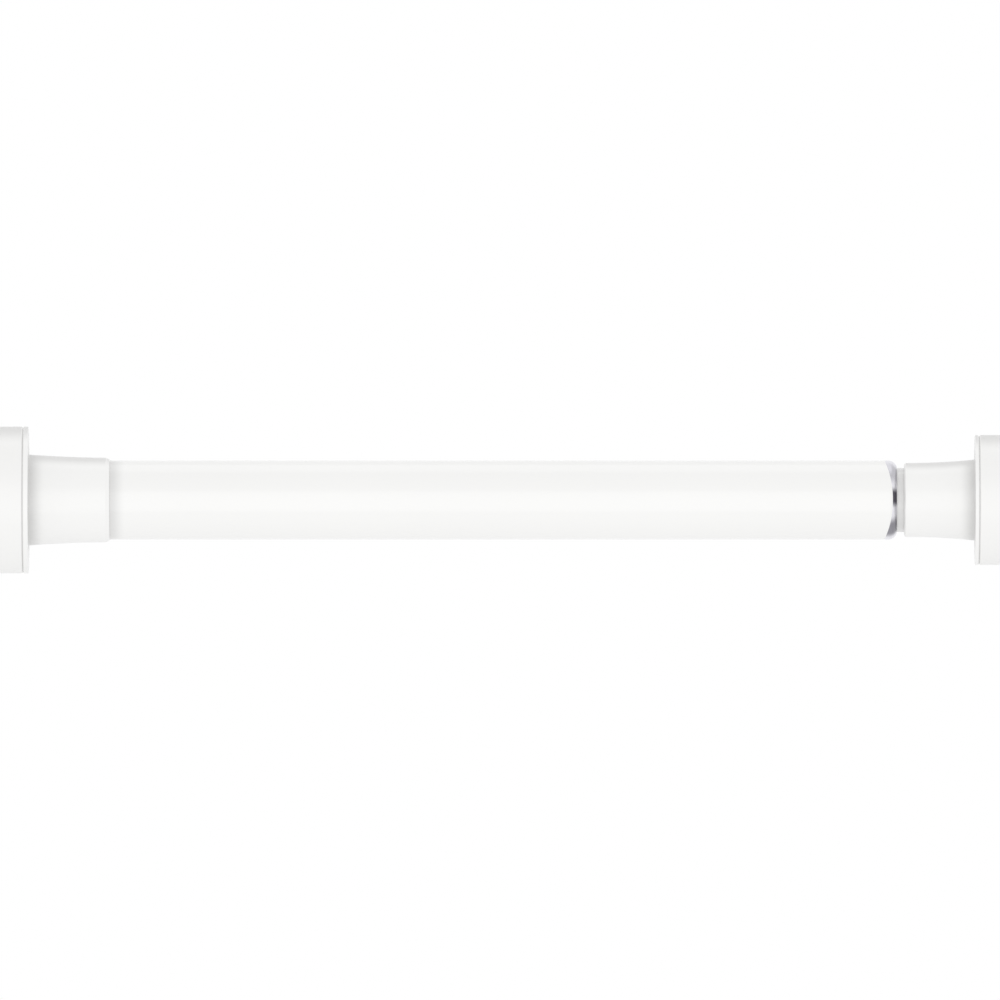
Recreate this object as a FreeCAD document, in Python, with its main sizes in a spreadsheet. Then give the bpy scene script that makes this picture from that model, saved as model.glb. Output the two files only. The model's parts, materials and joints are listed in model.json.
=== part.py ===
"""Spring tension rod: two telescoping tubes with a padded foot at each end, held between two walls.

The rod lies along X. The left foot's wall face is at x = 0 and the axis is y = z = 0, +Z up.
Turning the thin tube runs its nut along a screw spindle, which lengthens the rod. The spindle's
head rides in the fat tube on a compression spring, which presses both feet against the walls.
"""
import FreeCAD, Part
import Sketcher
import os
import re

# Driving sizes, in millimetres unless the note says otherwise.
SIZES = {
    "outer_tube_dia": (16.0, "outside of the fat tube"),
    "outer_tube_wall": (0.45, "sheet of the fat tube"),
    "outer_tube_length": (176.75, "fat tube from its foot to the tip of its rolled lip"),
    "lip_roll_angle": (70.0, "degrees that the fat tube's mouth is rolled inwards"),
    "lip_clearance": (0.1, "rolled lip round the thin tube"),
    "inner_tube_wall": (0.45, "sheet of the thin tube"),
    "closed_gap": (1.5, "rolled lip to the right collar at the shortest setting"),
    "left_flange_dia": (29.7, "left foot across its flange"),
    "left_plate_thick": (1.1, "left flange plate in front of the pad"),
    "left_collar_root_wall": (1.15, "left collar's wall where it leaves the flange"),
    "left_collar_mouth_wall": (0.5, "left collar's wall behind its bevelled mouth"),
    "left_collar_tip_wall": (0.15, "left collar's wall at its tip"),
    "left_collar_bevel": (0.8, "left collar's bevel along the rod"),
    "left_collar_hollow": (0.12, "dip of the left collar's side below a straight taper"),
    "left_collar_length": (16.4, "left collar from flange to mouth"),
    "left_pad_depth": (7.9, "left pad from wall face to seam"),
    "right_flange_dia": (26.3, "right foot across its flange"),
    "right_plate_thick": (0.85, "right flange plate in front of the pad"),
    "right_collar_root_wall": (1.65, "right collar's wall where it leaves the flange"),
    "right_collar_mouth_wall": (0.95, "right collar's wall behind its bevelled mouth"),
    "right_collar_tip_wall": (0.65, "right collar's wall at its tip"),
    "right_collar_bevel": (0.3, "right collar's bevel along the rod"),
    "right_collar_hollow": (0.2, "dip of the right collar's side below a straight taper"),
    "right_collar_length": (14.3, "right collar from flange to mouth"),
    "right_pad_depth": (7.4, "right pad from wall face to seam"),
    "tube_fit": (0.05, "collar bores, plug, bush and nut on the tube walls"),
    "collar_root_fillet": (0.2, "inside corner between collar and flange"),
    "flange_edge_round": (0.15, "front edge of a flange plate"),
    "seam_chamfer": (0.25, "both edges of the seam between pad and plate"),
    "socket_floor": (1.6, "wall that the tube ends on"),
    "core_wall": (1.6, "ring inside the pad"),
    "core_rib_thick": (1.2, "stiffening ribs behind the socket floor"),
    "core_rib_count": (6, "number of stiffening ribs"),
    "pad_wall": (1.6, "rubber round the socket's core"),
    "pad_face": (2.4, "rubber between core and wall"),
    "pad_fit": (0.05, "pad round the core"),
    "pad_edge_round": (0.8, "wall-side edge of a pad"),
    "grip_groove_pitch": (3.0, "spacing of the ring grooves in the wall face"),
    "grip_groove_width": (0.9, "ring groove across"),
    "grip_groove_depth": (0.5, "ring groove into the face"),
    "plug_length": (10.0, "plug in the fat tube behind the spring"),
    "plug_wall": (1.6, "plug wall round and over its hollow back"),
    "spring_clearance": (0.75, "spring inside the fat tube"),
    "spring_wire": (1.6, "spring wire"),
    "spring_length": (44.0, "spring as it sits in the rod"),
    "spring_turns": (5, "number of open coils"),
    "spring_coil_gap": (0.1, "between the closed coils at each end"),
    "spring_seat_gap": (0.05, "each end of the spring to its seat"),
    "spigot_clearance": (0.4, "plug and spindle spigots inside the spring"),
    "spigot_length": (6.0, "spigots that centre the spring"),
    "head_length": (6.0, "spindle head"),
    "slide_clearance": (0.1, "spindle head and glide ring in the fat tube"),
    "nut_wall": (1.1, "nut between the spindle and the thin tube"),
    "screw_clearance": (0.1, "nut round the spindle"),
    "nut_gap": (1.5, "spindle head to nut at the shortest setting"),
    "nut_flange_thick": (2.5, "nut flange that holds the glide ring"),
    "nut_flange_drop": (0.4, "nut flange below the glide ring's surface"),
    "ring_width": (5.0, "glide ring along the rod"),
    "ring_play": (0.1, "glide ring in its seat, each way"),
    "ring_clearance": (0.06, "glide ring round its seat"),
    "ring_seat_drop": (0.3, "ring seat below the thin tube's surface"),
    "ring_split": (1.5, "slit in the glide ring"),
    "shoulder_thick": (1.5, "nut shoulder that the thin tube ends on"),
    "nut_grip_length": (13.5, "nut inside the thin tube"),
    "bush_length": (12.0, "guide bush behind the rolled lip"),
    "bush_wall": (0.92, "guide bush between the two tubes"),
    "bush_clearance": (0.08, "guide bush round the thin tube"),
    "bush_lead_in": (0.5, "chamfer at the back of the guide bush"),
    "spindle_end_gap": (23.0, "spindle tip to the right socket floor"),
    "tip_length": (2.5, "spindle beyond the stop clip"),
    "tip_chamfer": (0.8, "spindle tip"),
    "clip_thick": (1.0, "stop clip"),
    "clip_rise": (0.8, "stop clip above the screw"),
    "clip_groove": (1.1, "clip groove into the screw"),
    "clip_clearance": (0.05, "stop clip in its groove, all round"),
    "clip_split": (5.0, "open side of the stop clip"),
}

# Places along the rod and radii that follow from the sizes.
DERIVED = {
    "outer_radius": "outer_tube_dia / 2",
    "outer_bore": "outer_radius - outer_tube_wall",
    "inner_radius": "outer_bore - tube_fit - bush_wall - bush_clearance",
    "inner_bore": "inner_radius - inner_tube_wall",
    "outer_start": "left_pad_depth",
    "outer_end": "outer_start + outer_tube_length",
    "lip_depth": "outer_radius - inner_radius - lip_clearance - outer_tube_wall * cos(lip_roll_angle)",
    "lip_bend": "lip_depth / (1 - cos(lip_roll_angle))",
    "lip_start": "outer_end - lip_bend * sin(lip_roll_angle)",
    "lip_centre": "outer_radius - lip_bend",
    "lip_edge": "lip_centre + lip_bend * cos(lip_roll_angle)",
    "lip_inner_end": "outer_end - outer_tube_wall * sin(lip_roll_angle)",
    "lip_inner_edge": "inner_radius + lip_clearance",
    "right_collar_mouth": "outer_end + closed_gap",
    "inner_end": "right_collar_mouth + right_collar_length + right_plate_thick",
    "rod_length": "inner_end + right_pad_depth",
    "spring_seat": "outer_start + plug_length",
    "spring_radius": "outer_bore - spring_clearance - spring_wire / 2",
    "spring_start": "spring_seat + spring_seat_gap + spring_wire / 2",
    "closed_rise": "(spring_wire + spring_coil_gap) / 2",
    "open_rise": "(spring_length - 3 * spring_wire - 2 * spring_coil_gap) / (2 * spring_turns)",
    "spigot_radius": "spring_radius - spring_wire / 2 - spigot_clearance",
    "head_start": "spring_seat + spring_length + 2 * spring_seat_gap",
    "head_end": "head_start + head_length",
    "slide_radius": "outer_bore - slide_clearance",
    "screw_radius": "inner_bore - tube_fit - nut_wall - screw_clearance",
    "nut_start": "head_end + nut_gap",
    "nut_bore": "screw_radius + screw_clearance",
    "ring_seat_start": "nut_start + nut_flange_thick",
    "ring_start": "ring_seat_start + ring_play",
    "ring_end": "ring_start + ring_width",
    "ring_seat_end": "ring_end + ring_play",
    "ring_seat_radius": "inner_radius - ring_seat_drop",
    "inner_start": "ring_seat_end + shoulder_thick",
    "nut_end": "inner_start + nut_grip_length",
    "bush_start": "lip_start - bush_length",
    "spindle_end": "inner_end - spindle_end_gap",
    "clip_seat_end": "spindle_end - tip_length",
    "clip_end": "clip_seat_end - clip_clearance",
    "clip_start": "clip_end - clip_thick",
    "clip_seat_start": "clip_start - clip_clearance",
    "clip_seat_radius": "screw_radius - clip_groove",
}

GRIP_GROOVES = 3
CLOSED_HALVES = 2  # half turns of closed coil at each end of the spring
SAME = 1e-4

doc = FreeCAD.newDocument("SpringTensionRod")
sheet = doc.addObject("Spreadsheet::Sheet", "Sizes")
for row, (name, (size, note)) in enumerate(SIZES.items(), start=1):
    sheet.set(f"A{row}", note)
    sheet.set(f"B{row}", str(size))
    sheet.setAlias(f"B{row}", name)
doc.recompute()


def bound(text):
    """Spell out every size and derived place in an expression as cells of the sheet."""

    def spell(match):
        word = match[0]
        if word in DERIVED:
            return f"({bound(DERIVED[word])})"
        return f"Sizes.{word}" if word in SIZES else word

    return re.sub(r"[a-z_]+", spell, text)


def value(text):
    """The number that an expression comes to now."""
    found = sheet.evalExpression(bound(text))
    return float(getattr(found, "Value", found))


def new_body(label):
    body = doc.addObject("PartDesign::Body", label)
    body.Label = label
    return body


def new_sketch(body, name, role):
    sketch = body.newObject("Sketcher::SketchObject", name)
    plane = next(f for f in body.Origin.OriginFeatures if f.Role == role)
    sketch.AttachmentSupport = [(plane, "")]
    sketch.MapMode = "FlatFace"
    return sketch


def pin_point(sketch, line, end, across, up):
    """Tie one point of a line to the sketch origin by two expressions. None leaves that one free."""
    for kind, axis, text in (("DistanceX", -2, across), ("DistanceY", -1, up)):
        if text == "0":
            sketch.addConstraint(Sketcher.Constraint("PointOnObject", line, end, axis))
        elif text is not None:
            index = sketch.addConstraint(Sketcher.Constraint(kind, line, end, value(text)))
            sketch.setExpression(f"Constraints[{index}]", bound(text))


def add_loop(sketch, corners):
    """Draw a closed loop through (across, up) corners, each tied to the sizes.

    A corner's third item is the centre of an arc to the next corner, the short way round. The
    next corner's height then follows from the arc.
    """
    first = sketch.GeometryCount
    count = len(corners)
    spots = [FreeCAD.Vector(value(c[0]), value(c[1]), 0) for c in corners]
    starts = []
    for i, corner in enumerate(corners):
        here, there = spots[i], spots[(i + 1) % count]
        start, stroke = 1, Part.LineSegment(here, there)
        if len(corner) > 2:
            centre = FreeCAD.Vector(value(corner[2][0]), value(corner[2][1]), 0)
            circle = Part.Circle(centre, FreeCAD.Vector(0, 0, 1), (here - centre).Length)
            clockwise = (here - centre).cross(there - centre).z < 0
            start, ends = (2, (there, here)) if clockwise else (1, (here, there))
            stroke = Part.ArcOfCircle(circle, *[circle.parameter(end) for end in ends])
        sketch.addGeometry(stroke, False)
        starts.append(start)
    for i, corner in enumerate(corners):
        line, before = first + i, first + (i - 1) % count
        link = Sketcher.Constraint("Coincident", before, 3 - starts[i - 1], line, starts[i])
        sketch.addConstraint(link)
        after_arc = len(corners[i - 1]) > 2
        pin_point(sketch, line, starts[i], corner[0], None if after_arc else corner[1])
        if len(corner) > 2:
            pin_point(sketch, line, 3, *corner[2])


def turned(body, corners):
    """Turn a closed half section of (along, radius) corners about the rod's axis."""
    sketch = new_sketch(body, "half_section", "XZ_Plane")
    add_loop(sketch, corners)
    solid = body.newObject("PartDesign::Revolution", "turning")
    solid.Profile = sketch
    solid.ReferenceAxis = (sketch, ["H_Axis"])
    solid.Angle = 360
    doc.recompute()
    return solid


def sleeve(label, start, end, bore, radius):
    """A plain tube or ring between two places and two radii."""
    body = new_body(label)
    turned(body, [(start, bore), (start, radius), (end, radius), (end, bore)])
    return body


def ease(body, kind, size, base, along, radius):
    """Fillet or chamfer the round edge of a turning at one place and radius."""
    place, reach = value(along), value(radius)
    names = [
        f"Edge{number}"
        for number, edge in enumerate(base.Shape.Edges, start=1)
        if isinstance(edge.Curve, Part.Circle)
        and abs(edge.Curve.Center.x - place) < SAME
        and abs(edge.Curve.Radius - reach) < SAME
    ]
    if not names:
        raise RuntimeError(f"{body.Label} has no edge at {along}, {radius}")
    eased = body.newObject(f"PartDesign::{kind}", kind.lower())
    eased.Base = (base, names)
    eased.setExpression("Radius" if kind == "Fillet" else "Size", bound(size))
    doc.recompute()
    return eased


def slit(body, width, radius):
    """Cut a ring open along its upper side."""
    sketch = new_sketch(body, "slit_outline", "YZ_Plane")
    half = f"{width} / 2"
    add_loop(sketch, [(f"-{half}", "0"), (f"-{half}", radius), (half, radius), (half, "0")])
    cut = body.newObject("PartDesign::Pocket", "slit")
    cut.Profile = sketch
    cut.Type = "ThroughAll"
    cut.Midplane = True
    doc.recompute()


def hollow_centre(start, end, dip):
    """Centre of the arc between two (along, radius) corners that dips towards the axis at its middle.

    A chord c with a dip s has its centre c^2 / 8s - s / 2 from its middle, on the outer side.
    """
    run = f"({end[0]} - {start[0]})"
    drop = f"({start[1]} - {end[1]})"
    chord = f"sqrt({run} ^ 2 + {drop} ^ 2)"
    share = f"({chord} / (8 * {dip}) - {dip} / (2 * {chord}))"
    along = f"(({start[0]} + {end[0]}) / 2 + {drop} * {share})"
    radius = f"(({start[1]} + {end[1]}) / 2 + {run} * {share})"
    return along, radius


def make_socket(end, tube_radius):
    """Moulded foot: hollow tapered collar for the tube, flange plate, and a ribbed core for the pad.

    Drawn with its wall face at zero and the tube coming in along +X.
    """
    body = new_body(f"{end}_socket")
    seam = f"{end}_pad_depth"
    floor = f"({seam} - socket_floor)"
    front = f"({seam} + {end}_plate_thick)"
    mouth = f"({front} + {end}_collar_length)"
    flange = f"({end}_flange_dia / 2)"
    core = f"({flange} - pad_wall - pad_fit)"
    hollow = f"({core} - core_wall)"
    bore = f"({tube_radius} + tube_fit)"
    root = (front, f"({bore} + {end}_collar_root_wall)")
    rim = (f"({mouth} - {end}_collar_bevel)", f"({bore} + {end}_collar_mouth_wall)")
    corners = [
        ("pad_face", hollow),
        ("pad_face", core),
        (seam, core),
        (seam, flange),
        (front, flange),
        (*root, hollow_centre(root, rim, f"{end}_collar_hollow")),
        rim,
        (mouth, f"({bore} + {end}_collar_tip_wall)"),
        (mouth, bore),
        (seam, bore),
        (seam, "0"),
        (floor, "0"),
        (floor, hollow),
    ]
    solid = turned(body, corners)
    solid = ease(body, "Fillet", "flange_edge_round", solid, front, flange)
    solid = ease(body, "Fillet", "collar_root_fillet", solid, *root)
    ease(body, "Chamfer", "seam_chamfer", solid, seam, flange)

    sketch = new_sketch(body, "rib_outline", "YZ_Plane")
    sketch.setExpression("AttachmentOffset.Base.z", bound("pad_face"))
    half = "core_rib_thick / 2"
    reach = f"({hollow} + core_wall / 2)"
    add_loop(sketch, [(f"-{half}", "0"), (f"-{half}", reach), (half, reach), (half, "0")])
    rib = body.newObject("PartDesign::Pad", "rib")
    rib.Profile = sketch
    rib.setExpression("Length", bound(f"{floor} + socket_floor / 2 - pad_face"))
    doc.recompute()
    ribs = body.newObject("PartDesign::PolarPattern", "ribs")
    ribs.Originals = [rib]
    ribs.Axis = (sketch, ["N_Axis"])
    ribs.Angle = 360
    ribs.setExpression("Occurrences", bound("core_rib_count"))
    body.Tip = ribs
    return body


def make_pad(end):
    """Rubber cup over the socket's core, with ring grooves in its wall face."""
    body = new_body(f"{end}_pad")
    seam = f"{end}_pad_depth"
    flange = f"({end}_flange_dia / 2)"
    inside = f"({flange} - pad_wall)"
    corners = [
        ("0", "0"),
        ("0", flange),
        (seam, flange),
        (seam, inside),
        ("pad_face", inside),
        ("pad_face", "0"),
    ]
    solid = turned(body, corners)
    solid = ease(body, "Fillet", "pad_edge_round", solid, "0", flange)
    ease(body, "Chamfer", "seam_chamfer", solid, seam, flange)

    sketch = new_sketch(body, "groove_section", "XZ_Plane")
    deep = "grip_groove_depth"
    for number in range(1, GRIP_GROOVES + 1):
        near = f"({number} * grip_groove_pitch)"
        far = f"({near} + grip_groove_width)"
        add_loop(sketch, [("0", near), ("0", far), (deep, far), (deep, near)])
    grooves = body.newObject("PartDesign::Groove", "grip_grooves")
    grooves.Profile = sketch
    grooves.ReferenceAxis = (sketch, ["H_Axis"])
    grooves.Angle = 360
    return body


def at_right_end(body):
    """Turn a foot piece round so that its wall face is at the right end of the rod."""
    body.Placement = FreeCAD.Placement(FreeCAD.Vector(), FreeCAD.Rotation(FreeCAD.Vector(0, 0, 1), 180))
    body.setExpression("Placement.Base.x", bound("rod_length"))
    return body


def make_outer_tube():
    """Fat tube whose mouth is rolled inwards round the thin tube."""
    body = new_body("outer_tube")
    bend = ("lip_start", "lip_centre")
    corners = [
        ("outer_start", "outer_bore"),
        ("outer_start", "outer_radius"),
        ("lip_start", "outer_radius", bend),
        ("outer_end", "lip_edge"),
        ("lip_inner_end", "lip_inner_edge", bend),
        ("lip_start", "outer_bore"),
    ]
    turned(body, corners)
    return body


def make_inner_tube():
    """Thin tube from the nut's shoulder to the right socket floor."""
    return sleeve("inner_tube", "inner_start", "inner_end", "inner_bore", "inner_radius")


def make_end_plug():
    """Hollow moulded plug at the fat tube's closed end, with a spigot for the spring."""
    body = new_body("end_plug")
    tip = "(spring_seat + spigot_length)"
    hollow = "(spigot_radius - plug_wall)"
    corners = [
        ("outer_start", hollow),
        ("outer_start", "outer_bore - tube_fit"),
        ("spring_seat", "outer_bore - tube_fit"),
        ("spring_seat", "spigot_radius"),
        (tip, "spigot_radius"),
        (tip, "0"),
        (f"{tip} - plug_wall", "0"),
        (f"{tip} - plug_wall", hollow),
    ]
    turned(body, corners)
    return body


def make_spring():
    """Round-wire compression spring with closed ends, wound from half rings that lean by turns.

    Each half ring climbs by its own rise. All of them meet square to the rod's axis, so the wire
    runs on without a kink.
    """
    active = ["open_rise"] * round(2 * value("spring_turns"))
    rises = ["closed_rise"] * CLOSED_HALVES + active + ["closed_rise"] * CLOSED_HALVES
    halves = []
    for number, rise in enumerate(rises):
        passed = rises[:number]
        climbed = " + ".join(f"{passed.count(r)} * {r}" for r in ("closed_rise", "open_rise"))
        middle = f"spring_start + {climbed} + {rise} / 2"
        lean = f"(45 deg + atan({rise} / (2 * spring_radius)) / 2)"
        leaning = f"rotation(vector(cos({lean}); 0; sin({lean})); 180)"
        side = f"rotation(vector(1; 0; 0); {180 * number})"
        half = doc.addObject("Part::Torus", "half_turn")
        half.Angle3 = 180
        half.setExpression("Radius1", bound(f"sqrt(spring_radius ^ 2 + ({rise} / 2) ^ 2)"))
        half.setExpression("Radius2", bound("spring_wire / 2"))
        half.setExpression("Placement", bound(f"placement(vector({middle}; 0; 0); {side} * {leaning})"))
        halves.append(half)
    spring = doc.addObject("Part::MultiFuse", "spring")
    spring.Label = "spring"
    spring.Shapes = halves
    return spring


def make_spindle():
    """Screw spindle: spring spigot, head that slides in the fat tube, screw, clip groove and tip."""
    body = new_body("spindle")
    corners = [
        ("head_start - spigot_length", "0"),
        ("head_start - spigot_length", "spigot_radius"),
        ("head_start", "spigot_radius"),
        ("head_start", "slide_radius"),
        ("head_end", "slide_radius"),
        ("head_end", "screw_radius"),
        ("clip_seat_start", "screw_radius"),
        ("clip_seat_start", "clip_seat_radius"),
        ("clip_seat_end", "clip_seat_radius"),
        ("clip_seat_end", "screw_radius"),
        ("spindle_end", "screw_radius"),
        ("spindle_end", "0"),
    ]
    solid = turned(body, corners)
    ease(body, "Chamfer", "tip_chamfer", solid, "spindle_end", "screw_radius")
    return body


def make_spindle_nut():
    """Nut pressed into the thin tube: flange, seat for the glide ring, shoulder and grip."""
    body = new_body("spindle_nut")
    flange = "slide_radius - nut_flange_drop"
    grip = "inner_bore - tube_fit"
    corners = [
        ("nut_start", "nut_bore"),
        ("nut_start", flange),
        ("ring_seat_start", flange),
        ("ring_seat_start", "ring_seat_radius"),
        ("ring_seat_end", "ring_seat_radius"),
        ("ring_seat_end", "inner_radius"),
        ("inner_start", "inner_radius"),
        ("inner_start", grip),
        ("nut_end", grip),
        ("nut_end", "nut_bore"),
    ]
    turned(body, corners)
    return body


def make_tail_ring():
    """Slit glide ring on the nut, which keeps the thin tube's tail central in the fat tube."""
    bore = "ring_seat_radius + ring_clearance"
    body = sleeve("tail_ring", "ring_start", "ring_end", bore, "slide_radius")
    slit(body, "ring_split", "outer_bore")
    return body


def make_guide_bush():
    """Bush behind the rolled lip, in which the thin tube slides and turns."""
    body = new_body("guide_bush")
    bore = "inner_radius + bush_clearance"
    wall = "outer_bore - tube_fit"
    solid = turned(
        body,
        [("bush_start", bore), ("bush_start", wall), ("lip_start", wall), ("lip_start", bore)],
    )
    ease(body, "Chamfer", "bush_lead_in", solid, "bush_start", bore)
    return body


def make_stop_clip():
    """Open ring in the groove near the spindle's tip, which the nut stops against."""
    rim = "screw_radius + clip_rise"
    bore = "clip_seat_radius + clip_clearance"
    body = sleeve("stop_clip", "clip_start", "clip_end", bore, rim)
    slit(body, "clip_split", rim)
    return body


bodies = [
    make_socket("left", "outer_radius"),
    make_pad("left"),
    make_outer_tube(),
    make_end_plug(),
    make_guide_bush(),
    make_spring(),
    make_spindle(),
    make_stop_clip(),
    make_tail_ring(),
    make_spindle_nut(),
    make_inner_tube(),
    at_right_end(make_socket("right", "inner_radius")),
    at_right_end(make_pad("right")),
]
doc.recompute()

for thing in doc.Objects:
    if {"Invalid", "Error"} & set(thing.State):
        raise RuntimeError(f"{thing.Label} failed: {thing.State}")
for body in bodies:
    if body.Shape.isNull() or not body.Shape.isValid() or len(body.Shape.Solids) != 1:
        raise RuntimeError(f"{body.Label} is not one valid solid")

os.makedirs("parts", exist_ok=True)
for body in bodies:
    body.Shape.exportStep(f"parts/{body.Label}.step")
    print(f"{body.Label}: {body.Shape.Volume:.1f} mm3")
print(f"rod length {value('rod_length'):.2f}, nut travel {value('clip_start - nut_end'):.2f}")
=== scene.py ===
"""Spring tension rod: finished surfaces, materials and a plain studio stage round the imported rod.

The rod lies along X with its left wall face at zero and its axis at y = z = 0. Most surfaces come
from a half section, an outline of (place along the rod, radius), that is carried round the axis.
"""

import json
import math

import bpy
import numpy as np
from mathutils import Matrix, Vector

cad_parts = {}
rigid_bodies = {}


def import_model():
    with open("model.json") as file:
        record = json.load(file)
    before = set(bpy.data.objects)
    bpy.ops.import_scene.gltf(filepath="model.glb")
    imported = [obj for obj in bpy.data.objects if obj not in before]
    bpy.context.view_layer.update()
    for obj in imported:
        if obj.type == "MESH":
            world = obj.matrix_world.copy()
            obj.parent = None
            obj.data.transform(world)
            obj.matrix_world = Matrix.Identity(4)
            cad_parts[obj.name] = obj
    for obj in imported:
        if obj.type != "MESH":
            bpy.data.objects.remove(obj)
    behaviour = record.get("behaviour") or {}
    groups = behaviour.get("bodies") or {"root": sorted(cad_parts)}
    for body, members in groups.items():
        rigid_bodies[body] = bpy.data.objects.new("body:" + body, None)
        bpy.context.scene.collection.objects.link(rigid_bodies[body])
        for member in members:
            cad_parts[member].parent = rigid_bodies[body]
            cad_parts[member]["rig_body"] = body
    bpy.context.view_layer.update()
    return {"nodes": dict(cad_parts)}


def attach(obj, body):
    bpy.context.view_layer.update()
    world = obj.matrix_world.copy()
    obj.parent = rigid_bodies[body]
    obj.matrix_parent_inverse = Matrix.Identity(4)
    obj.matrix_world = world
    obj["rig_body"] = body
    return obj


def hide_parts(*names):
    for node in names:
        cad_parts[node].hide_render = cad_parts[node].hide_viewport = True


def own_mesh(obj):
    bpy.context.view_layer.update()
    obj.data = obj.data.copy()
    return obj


bl_info = {
    "name": "Spring Tension Rod",
    "version": (1, 0, 0),
    "blender": (4, 5, 0),
    "location": "View3D > Sidebar > Tension Rod",
    "description": "Finished surfaces, materials and stage of a spring tension rod",
    "category": "Object",
}

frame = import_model()

MM = 0.001
TURN = 2 * math.pi
SEGMENTS = 192  # faces round the axis
ARC_STEPS = 8  # faces across an eased corner
SIDE_STEPS = 16  # faces along a collar's hollow side
LIP_STEPS = 32  # faces across the rolled lip
COIL_STEPS = 72  # faces along one turn of the spring
WIRE_FACES = 24  # faces round the spring's wire
FLOOR_CORNERS = 96
GUARD = 0.1  # flat strip beside an eased corner, as a share of its radius
SHARP = math.radians(35)  # edges that bend more than this stay sharp

WHITE = (1.0, 1.0, 1.0, 1.0)
UPWARD = "upward"  # attribute of a piece with painted shade on top
FLOAT, VECTOR = "NodeSocketFloat", "NodeSocketVector"
MIX_SHARE, MIX_FIRST, MIX_SECOND, MIX_RESULT = 0, 6, 7, 2  # colour sockets of a Mix node


def count(name, text, value):
    """A whole number."""
    return bpy.props.IntProperty(name=name, description=text, default=value)


def number(name, text, value, **kind):
    """A number of some kind."""
    return bpy.props.FloatProperty(name=name, description=text, default=value, **kind)


def length(name, text, value):
    """A size in metres, given here in millimetres."""
    return number(name, text, value * MM, precision=5, unit="LENGTH")


def degrees(name, text, value):
    """An angle, given here in degrees."""
    return number(name, text, math.radians(value), subtype="ANGLE")


def several(name, text, values, **kind):
    """A few numbers of one kind."""
    size = len(values)
    return bpy.props.FloatVectorProperty(name=name, description=text, default=values, size=size, **kind)


def lengths(name, text, values):
    """A few sizes in metres, given here in millimetres."""
    return several(name, text, [value * MM for value in values], precision=5, unit="LENGTH")


def angles(name, text, values):
    """A few angles, given here in degrees."""
    return several(name, text, [math.radians(value) for value in values], unit="ROTATION")


def colour(name, text, values):
    """A linear colour."""
    return several(name, text, values, min=0, max=1, subtype="COLOR")


class RodSizes(bpy.types.PropertyGroup):
    """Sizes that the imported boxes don't give. A pair is the left foot's and the right foot's."""

    tube_wall: length("Tube wall", "Sheet of both tubes", 0.45)
    tube_edge: length("Tube edge", "Easing of the tubes' cut edges", 0.08)
    lip_roll: degrees("Lip roll", "Roll of the thick tube's mouth", 70)
    tube_fit: length("Tube fit", "Collar bores round the tubes", 0.05)
    plates: lengths("Plates", "Flange plates in front of the pads", (1.1, 0.85))
    root_walls: lengths("Collar roots", "Collar walls at the flange", (1.15, 1.65))
    mouth_walls: lengths("Collar mouths", "Collar walls behind their bevels", (0.5, 0.95))
    tip_walls: lengths("Collar tips", "Collar walls at their tips", (0.15, 0.65))
    bevels: lengths("Collar bevels", "Bevels of the collars along the rod", (0.8, 0.3))
    hollows: lengths("Collar hollows", "Dips of the collars below a straight taper", (0.12, 0.2))
    root_fillet: length("Root fillet", "Inside corner between collar and flange", 0.2)
    plate_edge: length("Plate edge", "Easing of a flange plate's front edge", 0.15)
    small_edge: length("Small edge", "Easing of the other moulded edges", 0.05)
    soft_edge: length("Soft edge", "Easing of the spindle and the nut", 0.2)
    seam_bevel: length("Seam bevel", "Edges of the seam between pad and plate", 0.25)
    socket_floor: length("Socket floor", "Wall that the tube ends on", 1.6)
    core_wall: length("Core wall", "Ring inside the pad", 1.6)
    rib: length("Rib", "Thickness of the ribs", 1.2)
    rib_count: count("Ribs", "Ribs behind the socket floor", 6)
    pad_wall: length("Pad wall", "Rubber round the socket's core", 1.6)
    pad_fit: length("Pad fit", "Pad round the core", 0.05)
    pad_edge: length("Pad edge", "Easing of a pad's wall side", 0.8)
    groove_pitch: length("Groove pitch", "Spacing of the ring grooves", 3.0)
    groove_width: length("Groove width", "Ring groove across", 0.9)
    groove_depth: length("Groove depth", "Ring groove into the face", 0.5)
    groove_edge: length("Groove edge", "Easing of the ring grooves", 0.15)
    groove_count: count("Grooves", "Ring grooves in a wall face", 3)
    spring_wire: length("Spring wire", "Thickness of the spring's wire", 1.6)
    spring_turns: count("Open turns", "Turns between the two end turns", 5)
    closed_pitch: length("Closed pitch", "Rise of a closed end turn", 1.7)
    closed_turns: number("Closed turns", "Turns that lie closed at each end", 0.75)
    opening_turns: number("Opening turns", "Turns over which the rise grows", 0.5)
    head: length("Head", "Spindle head along the rod", 6.0)
    spigot: length("Spigot", "Spindle spigot inside the spring", 6.0)
    spigot_radius: length("Spigot radius", "Spindle spigot", 4.8)
    screw_radius: length("Screw radius", "Spindle over its screw", 4.8)
    screw_depth: length("Screw depth", "Depth of the screw's grooves", 1.0)
    screw_lead: length("Screw lead", "Travel of the nut in one turn", 8.0)
    screw_starts: count("Starts", "Starts of the screw", 2)
    screw_steepness: number("Screw steepness", "Steepness of the screw's flanks", 2.5)
    screw_row: length("Screw row", "Rows of the screw's surface", 0.3)
    screw_fade: length("Screw run-out", "Fading of the screw at each end", 1.4)
    screw_play: length("Screw play", "Nut's screw round the spindle's", 0.1)
    clip_groove: length("Clip groove", "Stop clip's groove into the spindle", 1.1)
    clip_play: length("Clip play", "Stop clip in its groove", 0.05)
    tip_bevel: length("Tip bevel", "Spindle's tip", 0.8)
    nut_flange: length("Nut flange", "Nut's flange in front of the glide ring", 2.5)
    nut_shoulder: length("Nut shoulder", "Nut's shoulder at the thin tube", 1.5)
    nut_seat_drop: length("Ring seat", "Glide ring's seat below the thin tube", 0.3)


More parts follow.
